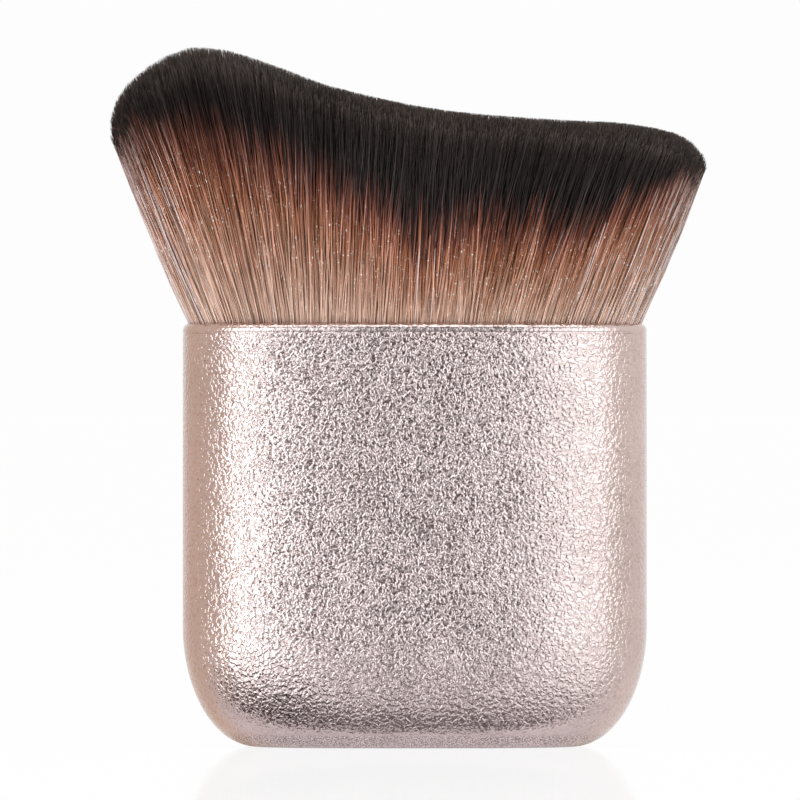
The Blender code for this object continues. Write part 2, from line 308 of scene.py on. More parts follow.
def plated_finish():
    """Metal over the mould's grain, which is weaker and duller on the lip and the foot. The
    grain's hollows have a darker colour, which is painted shade.
    """
    made, tree, shader = material("metallised champagne", Metallic=1.0)
    grain = place(tree, mould_grain(), {"Width": GRAIN_WIDTH})
    mound, grit, hollow = grain.outputs
    where = put(tree, "ShaderNodeTexCoord").outputs["Object"]
    cloud = noise(tree, where, CLOUD_FINENESS, Detail=3.0)
    height_up = put(tree, "ShaderNodeSeparateXYZ", {0: where}).outputs[2]
    lip = RIM_HEIGHT - LIP_HEIGHT
    below_lip = between(tree, height_up, lip, lip - GROOVE_WIDTH)
    above_foot = between(tree, height_up, FOOT_HEIGHT, FOOT_END)
    etched = maths(tree, "MULTIPLY", below_lip, above_foot)
    relief = maths(tree, "MULTIPLY_ADD", etched, 1 - SMOOTH_SHARE, SMOOTH_SHARE)
    height = maths(tree, "MULTIPLY", mound, relief)
    height = maths(tree, "MULTIPLY_ADD", grit, GRIT_SHARE, height)
    hollow = maths(tree, "MULTIPLY", hollow, etched)
    # The grain's hollows get a darker champagne, which is painted shade
    colour = mixed(tree, hollow, tone(*CHAMPAGNE), tone(*CHAMPAGNE_HOLLOW_SHADE))
    worn = between(tree, cloud, *USUAL, *WEAR)
    speckled = mix_value(tree, above_foot, between(tree, grit, 0.35, 0.65, *SPECKLE), 1.0)
    worn = maths(tree, "MULTIPLY", worn, speckled)
    shade = put(tree, "ShaderNodeCombineColor", {0: worn, 1: worn, 2: worn}).outputs[0]
    colour = mixed(tree, 1.0, colour, shade, "MULTIPLY")
    tree.links.new(colour, shader.inputs["Base Color"])
    rough = maths(tree, "MULTIPLY_ADD", hollow, ROUGH_HOLLOW, POLISHED)
    rough = maths(tree, "MULTIPLY_ADD", cloud, ROUGH_CLOUD, rough)
    rough = maths(tree, "MULTIPLY_ADD", maths(tree, "SUBTRACT", 1.0, etched), ROUGH_LIP, rough)
    tree.links.new(rough, shader.inputs["Roughness"])
    inputs = {"Strength": 1.0, "Distance": GRAIN_RELIEF, "Height": height}
    bump = put(tree, "ShaderNodeBump", inputs)
    tree.links.new(bump.outputs[0], shader.inputs["Normal"])
    return made


handle = skin("handle", handle_rings())
ribs = wall_ribs()
bpy.context.scene.collection.objects.link(ribs)
joined = handle.modifiers.new("ribs", "BOOLEAN")
joined.operation = "UNION"
joined.object = ribs
handle.data = final_mesh(handle)
handle.modifiers.clear()
bpy.data.objects.remove(ribs)
tidy_mesh(handle.data)
fit(handle, plated_finish(), "handle", "handle_shell")

# Ballast weight and its glue pad. A slug sawn from steel bar and tumbled, stuck to the floor of
# the shell with a pad of hot-melt glue, so that the brush stands although its bristles are wide.
STEEL = (172, 172, 174)
STEEL_DARK = (112, 111, 110)
AMBER = (222, 206, 168)
AMBER_DEEP = (190, 162, 112)
SAW_SPACING = 0.00025
STAIN_FINENESS = 160
GLUE_FINENESS = 300
GLUE_RIPPLE = 0.0011
GLUE_RELIEF = 0.0001


def drawn_lines():
    """Fine parallel lines, as a saw, a press or a drawing die leaves them."""
    tree, start, end = group("drawn lines", {"Spacing": SAW_SPACING, "Stretch": 0.05}, ("Line",))
    where = put(tree, "ShaderNodeTexCoord").outputs["Object"]
    along = start.outputs["Stretch"]
    stretch = xyz(tree, along, along, 1.0)
    inputs = {0: where, 1: stretch}
    where = put(tree, "ShaderNodeVectorMath", inputs, operation="MULTIPLY").outputs[0]
    fine = maths(tree, "DIVIDE", 1.0, start.outputs["Spacing"])
    tree.links.new(noise(tree, where, fine, Detail=2.0), end.inputs["Line"])
    return tree


LINES = drawn_lines()


def lined_metal(name, light, dark, spacing, relief, rough):
    """Bare metal with fine lines in it and a cloudy stain over it."""
    made, tree, shader = material(name, Metallic=1.0)
    line = place(tree, LINES, {"Spacing": spacing}).outputs["Line"]
    where = put(tree, "ShaderNodeTexCoord").outputs["Object"]
    stain = between(tree, noise(tree, where, STAIN_FINENESS, Detail=4.0), 0.35, 0.75)
    tree.links.new(mixed(tree, stain, tone(*light), tone(*dark)), shader.inputs["Base Color"])
    tree.links.new(maths(tree, "MULTIPLY_ADD", line, 0.25, rough), shader.inputs["Roughness"])
    bump = put(tree, "ShaderNodeBump", {"Distance": relief, "Height": line})
    tree.links.new(bump.outputs[0], shader.inputs["Normal"])
    return made


def glue_finish(name, light, deep, rough):
    """Cured glue: cloudy amber with a rippled skin."""
    made, tree, shader = material(name, Metallic=0.0)
    where = put(tree, "ShaderNodeTexCoord").outputs["Object"]
    ripple = noise(tree, where, 1 / GLUE_RIPPLE, Detail=2.0)
    cloud = between(tree, noise(tree, where, GLUE_FINENESS, Detail=3.0), *USUAL)
    tree.links.new(mixed(tree, cloud, tone(*light), tone(*deep)), shader.inputs["Base Color"])
    tree.links.new(maths(tree, "MULTIPLY_ADD", cloud, 0.2, rough), shader.inputs["Roughness"])
    bump = put(tree, "ShaderNodeBump", {"Distance": GLUE_RELIEF, "Height": ripple})
    tree.links.new(bump.outputs[0], shader.inputs["Normal"])
    return made


def repaint(node, finish):
    """Gives a CAD node that stays in view its better material."""
    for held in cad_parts[node].material_slots:
        held.material = finish


GLUE = glue_finish("hot-melt glue", AMBER, AMBER_DEEP, rough=0.25)
SAWN = lined_metal("sawn steel", STEEL, STEEL_DARK, SAW_SPACING, relief=0.00004, rough=0.35)
repaint("ballast_weight", SAWN)
repaint("ballast_glue_pad", GLUE)

# Hair cup and the glue bead it sits on. The cup is drawn from thin aluminium sheet, filled with
# resin and roots, pushed down into the handle, and held on the ledge by a bead of hot-melt glue.
ALLOY = (208, 209, 212)
ALLOY_DARK = (160, 161, 166)
DRAW_SPACING = 0.00018

DRAWN = lined_metal("drawn alloy", ALLOY, ALLOY_DARK, DRAW_SPACING, relief=0.00001, rough=0.25)
repaint("cup_glue_bead", GLUE)
repaint("hair_cup", DRAWN)

# Root band. A strip of copper alloy crimped round the roots, which holds the bundle together
# while it is potted. It lies in a groove of the resin.
COPPER = (216, 162, 128)
COPPER_DARK = (158, 100, 72)
ROLL_SPACING = 0.0003

ROLLED = lined_metal("crimped copper", COPPER, COPPER_DARK, ROLL_SPACING, 0.00001, rough=0.28)
repaint("root_band", ROLLED)

# Potting resin. Two-part resin poured into the hair cup round the roots. It fuses the fibres
# into one block, with the root band's groove round its foot.
RESIN_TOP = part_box("hair_cup")[1].z
RESIN_LOW, RESIN_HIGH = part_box("root_band")
RESIN_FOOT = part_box("bristle_tuft_5")[0].z
RESIN_HALF_WIDTH, RESIN_HALF_DEPTH = RESIN_HIGH.x, RESIN_HIGH.y
BAND_THICKNESS = 0.0005
GROOVE_DEPTH = BAND_THICKNESS + FIT_GAP
RESIN_AMBER = (150, 112, 78)
RESIN_DEEP = (92, 62, 44)
RESIN_POINTS = 96
TUFTS = [f"bristle_tuft_{number}" for number in range(1, 10)]


def resin_rings():
    """Outlines of the block from its foot up, in and out of the band's groove."""
    low, high = RESIN_LOW.z - FIT_GAP, RESIN_HIGH.z + FIT_GAP
    steps = ((RESIN_FOOT, 0), (low, 0), (low, GROOVE_DEPTH), (high, GROOVE_DEPTH))
    steps += ((high, 0), (RESIN_TOP, 0))
    rings = []
    for z, inset in steps:
        half_width, half_depth = RESIN_HALF_WIDTH - inset, RESIN_HALF_DEPTH - inset
        rings.append(outline(half_width, half_depth, z, RESIN_POINTS))
    return rings


resin = skin("potting_resin", resin_rings())
fit(resin, glue_finish("potting resin", RESIN_AMBER, RESIN_DEEP, rough=0.2), "glue", *TUFTS)

# Bristles. Fine synthetic fibres, pale as drawn and dipped twice, so that they turn brown and
# then near black towards the tip. They fan out of the mouth, end in a wave-shaped top, and cling
# together in small locks. Each tuft is one mesh of closed three-sided fibres.
FIBRE_SEAT = 0.0012
ROOT_HALF_WIDTH = 0.0273
ROOT_HALF_DEPTH = 0.0106
DEPTH_LEAN = 0.25
BELLY = 0.0010
CROWN_DROP = 0.0030
CROWN_POWER = 3.0
ROWS_ACROSS = 36
ROWS_DEEP = 32
END_SHARE = 0.992
END_ZONE = 0.85
END_EASE = 0.7
BLACK_SHARE = 0.3
END_JUMP = 0.06
STRIPS = 128
PLAIN_STRIPS = 96
FIRST_SEED = 11
SEED_STEP = 17
ROOT_TRIES = 2.5
# By nearness to the bundle's outside: where fibres stand closer, and where they are its skin
OUTER_ZONE = (0.45, 0.75)
SKIN_ZONE = (0.68, 0.88)
# By distance from the middle of the mouth: where a root may still be set aside outwards
LIP_ZONE = (0.7 * ROOT_HALF_WIDTH, 0.2 * ROOT_HALF_WIDTH)
# How much fibres differ by chance, and how they sway
SHADE_PATCH = (0.25, 0.75)
SHADE_CHANCE = 0.45
DIP_LOCKS = (0.92, 1.08)
DIP_CHANCE = (0.82, 1.18)
STOUT = (0.8, 1.2)
SHORT_POWER = 2.5
END_UNEVEN = 0.8
OUTER_POINTS = 9
INNER_POINTS = 3
POINTS_TIPWARD = 1.5
SWAY_PACE = 7.2
SWAY_SPREAD = 2.4
SWAY_RATIO = 1.31
WANDER_RISE = 0.004
WANDER_FINENESS = 520.0
STRAY_POWER = 1.5

# The wave seen from the front, from its left end over the hump to its right end
CREST = (
    (-0.0379, 0.0761),
    (-0.0384, 0.0777),
    (-0.0386, 0.0792),
    (-0.0386, 0.0808),
    (-0.0382, 0.0823),
    (-0.0376, 0.0837),
    (-0.0363, 0.0855),
    (-0.0338, 0.0876),
    (-0.0314, 0.0890),
    (-0.0289, 0.0899),
    (-0.0272, 0.0900),
    (-0.0238, 0.0896),
    (-0.0212, 0.0888),
    (-0.0186, 0.0879),
    (-0.0160, 0.0869),
    (-0.0135, 0.0859),
    (-0.0109, 0.0850),
    (-0.0058, 0.0837),
    (-0.0006, 0.0826),
    (0.0045, 0.0818),
    (0.0096, 0.0813),
    (0.0148, 0.0809),
    (0.0199, 0.0806),
    (0.0250, 0.0804),
    (0.0276, 0.0801),
    (0.0302, 0.0797),
    (0.0327, 0.0791),
    (0.0341, 0.0785),
    (0.0353, 0.0777),
    (0.0365, 0.0762),
    (0.0371, 0.0746),
    (0.0367, 0.0731),
)
# How far the fibres lean outwards for each unit of height, by share of the half width
LEAN = (
    (-1.0, -0.420),
    (-0.9, -0.390),
    (-0.78, -0.290),
    (-0.64, -0.150),
    (-0.5, -0.050),
    (-0.38, 0.010),
    (-0.1, 0.050),
    (0.15, 0.110),
    (0.3, 0.210),
    (0.42, 0.285),
    (0.55, 0.330),
    (0.69, 0.360),
    (0.82, 0.385),
    (1.0, 0.420),
)
# The chance that a fibre is a pale one. It is greatest at the two ends, where pale fibres are
# painted back light.
PALE = (
    (-1.0, 0.90),
    (-0.94, 0.32),
    (-0.85, 0.06),
    (-0.7, 0.03),
    (-0.5, 0.01),
    (0.3, 0.02),
    (0.6, 0.06),
    (0.85, 0.15),
    (0.94, 0.38),
    (1.0, 0.85),
)
# How long the black tip is
DIP = (
    (-1.0, 0.0003),
    (-0.96, 0.0004),
    (-0.9, 0.0012),
    (-0.8, 0.0047),
    (-0.7, 0.0066),
    (-0.6, 0.0075),
    (-0.5, 0.0074),
    (-0.4, 0.0082),
    (-0.3, 0.0100),
    (-0.2, 0.0107),
    (-0.1, 0.0126),
    (0.0, 0.0135),
    (0.1, 0.0115),
    (0.2, 0.0099),
    (0.3, 0.0110),
    (0.4, 0.0101),
    (0.5, 0.0113),
    (0.6, 0.0111),
    (0.7, 0.0076),
    (0.8, 0.0047),
    (0.9, 0.0012),
    (1.0, 0.0003),
)
# How long the pale point of a fibre is. It is painted light on the fibre's thin tip.
POINT = (
    (-1.0, 0.0055),
    (-0.8, 0.0055),
    (-0.6, 0.0045),
    (-0.35, 0.0012),
    (0.4, 0.0006),
    (0.65, 0.0014),
    (0.8, 0.0040),
    (1.0, 0.0055),
)


def read(table, at):
    """Reads a table of pairs at these places."""
    places, values = np.array(table).T
    return np.interp(at, places, values)


def crest_height(shares):
    """The height at which the fibres of these shares of the half width meet the wave."""
    bends = np.linspace(0, 1, len(CREST))
    fine = np.linspace(0, 1, 40 * len(CREST))
    x, z = (np.interp(fine, bends, line) for line in np.array(CREST).T)
    heights = []
    for share, lean in zip(shares, read(LEAN, shares)):
        beside = x - (share * ROOT_HALF_WIDTH + lean * (z - RESIN_TOP))
        heights.append(np.interp(0, np.maximum.accumulate(beside), z))
    return np.array(heights)


def root_sheet(number):
    """The part of the resin's top where this tuft is rooted. Each of its points carries the
    place where a fibre rooted there ends, how long its black tip and its pale point are, how
    far it bows, how near it is to the outside of the bundle and to one of its two ends, and
    its chance of being pale."""
    count = len(TUFTS)
    ends = (number / count * 2 - 1, (number + 1) / count * 2 - 1)
    shares = np.linspace(*ends, ROWS_ACROSS) * END_SHARE
    deep = np.linspace(-1, 1, ROWS_DEEP)
    chord = (1 - np.abs(shares) ** SECTION_POWER) ** (1 / SECTION_POWER) * ROOT_HALF_DEPTH
    share, t = np.meshgrid(shares, deep, indexing="ij")
    foot = RESIN_TOP - FIBRE_SEAT
    x, y = share * ROOT_HALF_WIDTH, t * chord[:, None]
    top = crest_height(shares)[:, None] - CROWN_DROP * np.abs(t) ** CROWN_POWER
    tip_x = x + read(LEAN, share) * (top - foot)
    tip_y = y * (1 + DEPTH_LEAN * (top - foot) / ROOT_HALF_DEPTH)
    mesh = bpy.data.meshes.new("root sheet")
    corners = [(i, j) for i in range(ROWS_ACROSS - 1) for j in range(ROWS_DEEP - 1)]
    at = np.arange(ROWS_ACROSS * ROWS_DEEP).reshape(ROWS_ACROSS, ROWS_DEEP)
    faces = [(at[i, j], at[i + 1, j], at[i + 1, j + 1], at[i, j + 1]) for i, j in corners]
    points = np.stack([x, y, np.full_like(x, foot)], axis=-1).reshape(-1, 3)
    mesh.from_pydata(points.tolist(), [], [[int(k) for k in face] for face in faces])
    tips = np.stack([tip_x, tip_y, top], axis=-1)
    outer = np.maximum(np.abs(t), (np.abs(share) - END_ZONE) / (1 - END_ZONE))
    layer = mesh.attributes.new("tip", "FLOAT_VECTOR", "POINT")
    layer.data.foreach_set("vector", tips.reshape(-1).astype(np.float32))
    single = {"dip": read(DIP, share), "bow": BELLY * y / ROOT_HALF_DEPTH, "outer": outer}
    single["end"] = np.clip((np.abs(share) - END_EASE) / (1 - END_EASE), 0, 1)
    single["pale"] = read(PALE, share)
    single["point"] = read(POINT, share)
    for name, values in single.items():
        layer = mesh.attributes.new(name, "FLOAT", "POINT")
        layer.data.foreach_set("value", values.reshape(-1).astype(np.float32))
    made = bpy.data.objects.new(f"bristles_{number + 1}", mesh)
    bpy.context.scene.collection.objects.link(made)
    return made


def vectors(tree, operation, *values):
    return put(tree, "ShaderNodeVectorMath", enumerate(values), operation=operation).outputs[0]


def scaled(tree, vector, factor):
    inputs = {0: vector, "Scale": factor}
    return put(tree, "ShaderNodeVectorMath", inputs, operation="SCALE").outputs[0]


def carried(tree, name, data_type="FLOAT"):
    """What the points carry under this name."""
    inputs = {"Name": name}
    node = put(tree, "GeometryNodeInputNamedAttribute", inputs, data_type=data_type)
    return node.outputs[0]


def stored(tree, geometry, name, value, data_type="FLOAT", domain="POINT"):
    inputs = {"Geometry": geometry, "Name": name, "Value": value}
    settings = {"data_type": data_type, "domain": domain}
    return put(tree, "GeometryNodeStoreNamedAttribute", inputs, **settings).outputs[0]


def random_value(tree, low, high, seed, step):
    """A random value for each fibre. Each step from the seed gives a series of its own."""
    inputs = {2: low, 3: high, "Seed": maths(tree, "ADD", seed, step)}
    return put(tree, "FunctionNodeRandomValue", inputs, data_type="FLOAT").outputs[1]


FIBRE_SIZES = {
    "Spacing": 0.000076,
    "Share inside": 0.53,
    "Share outside": 0.72,
    "Root width": 0.00014,
    "Middle width": 0.00020,
    "Tip width": 0.00004,
    "Lock size": 0.0007,
    "Lock pull": 0.06,
    "Lock size at tip": 0.0016,
    "Wander": 0.0004,
    "Stray": 0.00022,
    "Cross": 0.0022,
    "Curl": 0.0004,
    "Weave": 0.00028,
    "Uneven": 0.045,
    "Uneven outside": 0.13,
    "Dip lock": 0.0018,
}


def fibre_tree():
    """Sets fibres on a root sheet and draws each one out to its tip."""
    tree = bpy.data.node_groups.new("fibres on a root sheet", "GeometryNodeTree")
    sockets = tree.interface
    sockets.new_socket("Sheet", in_out="INPUT", socket_type="NodeSocketGeometry")
    sockets.new_socket("Seed", in_out="INPUT", socket_type="NodeSocketInt")
    for name in FIBRE_SIZES:
        sockets.new_socket(name, in_out="INPUT", socket_type="NodeSocketFloat")
    sockets.new_socket("Finish", in_out="INPUT", socket_type="NodeSocketMaterial")
    sockets.new_socket("Fibres", in_out="OUTPUT", socket_type="NodeSocketGeometry")
    size = tree.nodes.new("NodeGroupInput").outputs
    seed = size["Seed"]

    # Roots
    crowd = maths(tree, "DIVIDE", ROOT_TRIES, maths(tree, "POWER", size["Spacing"], 2.0))
    inputs = {"Mesh": size["Sheet"], "Distance Min": size["Spacing"], "Density Max": crowd}
    inputs["Seed"] = seed
    outer = carried(tree, "outer")
    share = between(tree, outer, *OUTER_ZONE, size["Share inside"], size["Share outside"])
    inputs["Density Factor"] = mix_value(tree, carried(tree, "end"), share, 1.0)
    spread = {"distribute_method": "POISSON"}
    roots = put(tree, "GeometryNodeDistributePointsOnFaces", inputs, **spread).outputs[0]
    place_now = put(tree, "GeometryNodeInputPosition").outputs[0]
    roots = stored(tree, roots, "root", place_now, "FLOAT_VECTOR")
    skin_share = between(tree, outer, *SKIN_ZONE)
    ease = maths(tree, "SUBTRACT", 1.0, carried(tree, "end"))
    patch = noise(tree, place_now, maths(tree, "DIVIDE", 1.0, size["Lock size"]), Detail=1.0)
    patch = between(tree, patch, *USUAL, *SHADE_PATCH)
    shade = random_value(tree, -SHADE_CHANCE, SHADE_CHANCE, seed, 0)
    roots = stored(tree, roots, "shade", maths(tree, "ADD", shade, patch))
    luck = random_value(tree, 0.0, 1.0, seed, 11)
    roots = stored(tree, roots, "bank", maths(tree, "LESS_THAN", luck, carried(tree, "pale")))
    finger = noise(tree, place_now, maths(tree, "DIVIDE", 1.0, size["Dip lock"]), Detail=2.0)
    finger = between(tree, finger, *USUAL, *DIP_LOCKS)
    loose = random_value(tree, *DIP_CHANCE, seed, 7)
    finger = maths(tree, "MULTIPLY", maths(tree, "MULTIPLY", finger, loose), carried(tree, "dip"))
    roots = stored(tree, roots, "dip", finger)
    for name, step in (("stray", 1), ("curl", 5), ("sway", 8)):
        pair = [random_value(tree, -1.0, 1.0, seed, step + second) for second in (0, 1)]
        roots = stored(tree, roots, name, xyz(tree, *pair), "FLOAT_VECTOR")
    short = maths(tree, "POWER", random_value(tree, 0.0, 1.0, seed, 3), SHORT_POWER)
    sides = maths(tree, "MULTIPLY", skin_share, ease)
    more = maths(tree, "MULTIPLY_ADD", carried(tree, "end"), END_UNEVEN, 1.0)
    uneven = maths(tree, "MULTIPLY", size["Uneven"], more)
    most = mix_value(tree, sides, uneven, size["Uneven outside"])
    roots = stored(tree, roots, "short", maths(tree, "MULTIPLY", short, most))
    crossing = random_value(tree, -1.0, 1.0, seed, 10)
    crossing = maths(tree, "MULTIPLY", maths(tree, "MULTIPLY", crossing, ease), size["Cross"])
    # Near the handle's lip a root keeps clear of it, and is set aside only towards the middle
    x = put(tree, "ShaderNodeSeparateXYZ", {0: place_now}).outputs[0]
    away = maths(tree, "GREATER_THAN", maths(tree, "MULTIPLY", crossing, x), 0.0)
    room = between(tree, maths(tree, "ABSOLUTE", x), *LIP_ZONE)
    crossing = maths(tree, "MULTIPLY", crossing, mix_value(tree, away, 1.0, room))
    roots = stored(tree, roots, "cross", crossing)
    roots = stored(tree, roots, "weave", maths(tree, "MULTIPLY", skin_share, size["Weave"]))
    roots = stored(tree, roots, "stout", random_value(tree, *STOUT, seed, 4))

    # One straight fibre on each root. Those near the outside, which show at their full length,
    # have more points than those that show only at their tips.
    straight = put(tree, "GeometryNodeCurvePrimitiveLine").outputs[0]
    near = maths(tree, "GREATER_THAN", carried(tree, "weave"), 0.0)
    far = maths(tree, "SUBTRACT", 1.0, near)
    both = tree.nodes.new("GeometryNodeJoinGeometry")
    for chosen, count in ((near, OUTER_POINTS), (far, INNER_POINTS)):
        inputs = {"Curve": straight, "Count": count}
        line = put(tree, "GeometryNodeResampleCurve", inputs).outputs[0]
        inputs = {"Points": roots, "Selection": chosen, "Instance": line}
        fibres = put(tree, "GeometryNodeInstanceOnPoints", inputs).outputs[0]
        tree.links.new(fibres, both.inputs[0])
    fibres = put(tree, "GeometryNodeRealizeInstances", {0: both.outputs[0]}).outputs[0]

    # Its way from root to tip, with its points closer together towards the tip
    left = maths(tree, "SUBTRACT", 1.0, put(tree, "GeometryNodeSplineParameter").outputs["Factor"])
    along = maths(tree, "SUBTRACT", 1.0, maths(tree, "POWER", left, POINTS_TIPWARD))
    fibres = stored(tree, fibres, "along", along)
    along = carried(tree, "along")
    root = carried(tree, "root", "FLOAT_VECTOR")
    whole = vectors(tree, "SUBTRACT", carried(tree, "tip", "FLOAT_VECTOR"), root)
    reach = maths(tree, "SUBTRACT", along, maths(tree, "MULTIPLY", along, carried(tree, "short")))
    way = vectors(tree, "ADD", root, scaled(tree, whole, reach))
    arch = maths(tree, "MULTIPLY", along, maths(tree, "SUBTRACT", 1.0, along))
    arch = maths(tree, "MULTIPLY", arch, 4.0)
    bow = maths(tree, "MULTIPLY", arch, carried(tree, "bow"))
    way = vectors(tree, "ADD", way, xyz(tree, 0.0, bow))
    held = maths(tree, "MULTIPLY", arch, size["Curl"])
    curl = scaled(tree, carried(tree, "curl", "FLOAT_VECTOR"), held)
    way = vectors(tree, "ADD", way, curl)
    cross = maths(tree, "MULTIPLY", maths(tree, "SUBTRACT", 1.0, along), carried(tree, "cross"))
    way = vectors(tree, "ADD", way, xyz(tree, cross))

    # The outer ones weave in and out, each at its own pace
    sway = put(tree, "ShaderNodeSeparateXYZ", {0: carried(tree, "sway", "FLOAT_VECTOR")}).outputs
    pace = maths(tree, "MULTIPLY_ADD", sway[0], SWAY_SPREAD, SWAY_PACE)
    turn = maths(tree, "MULTIPLY_ADD", along, pace, maths(tree, "MULTIPLY", sway[1], math.pi))
    aside = maths(tree, "MULTIPLY", maths(tree, "SINE", turn), 0.5)
    inward = maths(tree, "COSINE", maths(tree, "MULTIPLY", turn, SWAY_RATIO))
    held = maths(tree, "MULTIPLY", carried(tree, "weave"), between(tree, along, 0.05, 0.3))
    way = vectors(tree, "ADD", way, scaled(tree, xyz(tree, aside, inward), held))

    # Locks: fibres pull together at the mouth, and in wider locks towards the tip
    pulls = (("Lock size", between(tree, along, 0.42, 0.08)),)
    pulls += (("Lock size at tip", between(tree, along, 0.2, 1.0, 0.0, 0.5)),)
    for name, hold in pulls:
        inputs = {"Vector": root, "Scale": maths(tree, "DIVIDE", 1.0, size[name])}
        lock = put(tree, "ShaderNodeTexVoronoi", inputs, voronoi_dimensions="2D")
        toward = vectors(tree, "SUBTRACT", lock.outputs["Position"], root)
        toward = vectors(tree, "MULTIPLY", toward, (1.0, 1.0, 0.0))
        hold = maths(tree, "MULTIPLY", hold, size["Lock pull"])
        way = vectors(tree, "ADD", way, scaled(tree, toward, hold))

    # Neighbours wander together, and each one strays by itself towards its tip
    rise = xyz(tree, 0.0, 0.0, maths(tree, "MULTIPLY", along, WANDER_RISE))
    inputs = {"Vector": vectors(tree, "ADD", root, rise), "Scale": WANDER_FINENESS, "Detail": 1.0}
    drift = put(tree, "ShaderNodeTexNoise", inputs).outputs[1]
    drift = vectors(tree, "SUBTRACT", drift, (0.5, 0.5, 0.5))
    drift = vectors(tree, "MULTIPLY", drift, (2, 2, 0))
    eased = between(tree, along, 1.0, 0.7, 0.4, 1.0)
    held = maths(tree, "MULTIPLY", between(tree, along, 0.08, 0.6), eased)
    held = maths(tree, "MULTIPLY", held, size["Wander"])
    way = vectors(tree, "ADD", way, scaled(tree, drift, held))
    loose = maths(tree, "MULTIPLY", maths(tree, "POWER", along, STRAY_POWER), size["Stray"])
    stray = scaled(tree, carried(tree, "stray", "FLOAT_VECTOR"), loose)
    way = vectors(tree, "ADD", way, stray)
    fibres = put(tree, "GeometryNodeSetPosition", {"Geometry": fibres, "Position": way}).outputs[0]

    # How far each point is along the dye: near 0 at the tip, and near 1 at the root
    length = put(tree, "ShaderNodeVectorMath", {0: whole}, operation="LENGTH").outputs["Value"]
    own = maths(tree, "MULTIPLY", length, maths(tree, "SUBTRACT", 1.0, along))
    from_tip = maths(tree, "MULTIPLY", length, maths(tree, "SUBTRACT", 1.0, reach))
    dip = carried(tree, "dip")
    black = maths(tree, "MINIMUM", maths(tree, "DIVIDE", from_tip, dip), 1.0)
    rest = maths(tree, "MAXIMUM", maths(tree, "SUBTRACT", from_tip, dip), 0.0)
    rest = maths(tree, "DIVIDE", rest, maths(tree, "SUBTRACT", length, dip))
    # At the two ends the dye is shifted paler, which is painted rim light
    black_share = maths(tree, "MULTIPLY_ADD", carried(tree, "end"), END_JUMP, BLACK_SHARE)
    dye = maths(tree, "MULTIPLY", black, black_share)
    dye = maths(tree, "MULTIPLY_ADD", rest, maths(tree, "SUBTRACT", 1.0, black_share), dye)
    # The pale point: towards its very tip each fibre takes the dye's first stops, painted light on
    # its thin tip
    fringe = maths(tree, "MINIMUM", carried(tree, "point"), maths(tree, "MULTIPLY", dip, 0.9))
    dye = maths(tree, "MULTIPLY", dye, between(tree, own, 0.0, fringe))
    fibres = stored(tree, fibres, "dye", maths(tree, "MULTIPLY_ADD", dye, 0.95, 0.02))

    # Three sides, thinner towards the tip, and closed at both ends
    inputs = {"Resolution": 3, "Radius": 0.5}
    profile = put(tree, "GeometryNodeCurvePrimitiveCircle", inputs).outputs[0]
    side = put(tree, "GeometryNodeInputIndex").outputs[0]
    profile = stored(tree, profile, "side", side)
    taper = between(tree, along, 0.55, 1.0)
    low = between(tree, along, 0.0, 0.5)
    width = put(tree, "ShaderNodeMix", {0: low, 2: size["Root width"], 3: size["Middle width"]})
    width = put(tree, "ShaderNodeMix", {0: taper, 2: width.outputs[0], 3: size["Tip width"]})
    width = maths(tree, "MULTIPLY", width.outputs[0], carried(tree, "stout"))
    inputs = {"Curve": fibres, "Profile Curve": profile, "Scale": width, "Fill Caps": True}
    mesh = put(tree, "GeometryNodeCurveToMesh", inputs).outputs[0]

    # Each fibre lies in one of the map's upright strips, by its shade, and pale ones in the last
    # of them. Its three edges lie at 0.1, 0.9 and 0.5 of the strip's width.
    side = carried(tree, "side")
    bank = carried(tree, "bank")
    shade = put(tree, "ShaderNodeClamp", {0: carried(tree, "shade"), 1: 0.0, 2: 0.999}).outputs[0]
    strips = mix_value(tree, bank, PLAIN_STRIPS, STRIPS - PLAIN_STRIPS)
    strip = maths(tree, "FLOOR", maths(tree, "MULTIPLY", shade, strips))
    strip = maths(tree, "MULTIPLY_ADD", bank, PLAIN_STRIPS, strip)
    last = maths(tree, "GREATER_THAN", side, 1.5)
    edge = maths(tree, "MULTIPLY_ADD", side, 0.8, maths(tree, "MULTIPLY_ADD", last, -1.2, 0.1))
    u = maths(tree, "DIVIDE", maths(tree, "ADD", strip, edge), STRIPS)
    sides = put(tree, "GeometryNodeInputMeshFaceNeighbors").outputs["Vertex Count"]
    cap = maths(tree, "LESS_THAN", sides, 3.5)
    v = maths(tree, "MULTIPLY_ADD", maths(tree, "MULTIPLY", cap, side), 0.01, carried(tree, "dye"))
    mesh = stored(tree, mesh, "OFBake", xyz(tree, u, v), "FLOAT2", "CORNER")
    names = "root shade bank point stray curl sway cross weave short stout"
    names += " tip dip bow outer end pale along dye side"
    for name in names.split():
        inputs = {"Geometry": mesh, "Name": name}
        mesh = put(tree, "GeometryNodeRemoveAttribute", inputs).outputs[0]
    mesh = put(tree, "GeometryNodeSetShadeSmooth", {"Geometry": mesh}).outputs[0]
    mesh = put(tree, "GeometryNodeRealizeInstances", {0: mesh}).outputs[0]
    inputs = {"Geometry": mesh, "Material": size["Finish"]}
    mesh = put(tree, "GeometryNodeSetMaterial", inputs).outputs[0]
    put(tree, "NodeGroupOutput", {0: mesh})
    return tree


def ramp(tree, factor, stops):
    """Colours along a line, from pairs of place and colour."""
    node = put(tree, "ShaderNodeValToRGB", {0: factor})
    line = node.color_ramp.elements
    while len(line) < len(stops):
        line.new(1.0)
    for element, (at, colour) in zip(line, stops):
        element.position = at
        element.color = tone(*colour)
    return node.outputs[0]


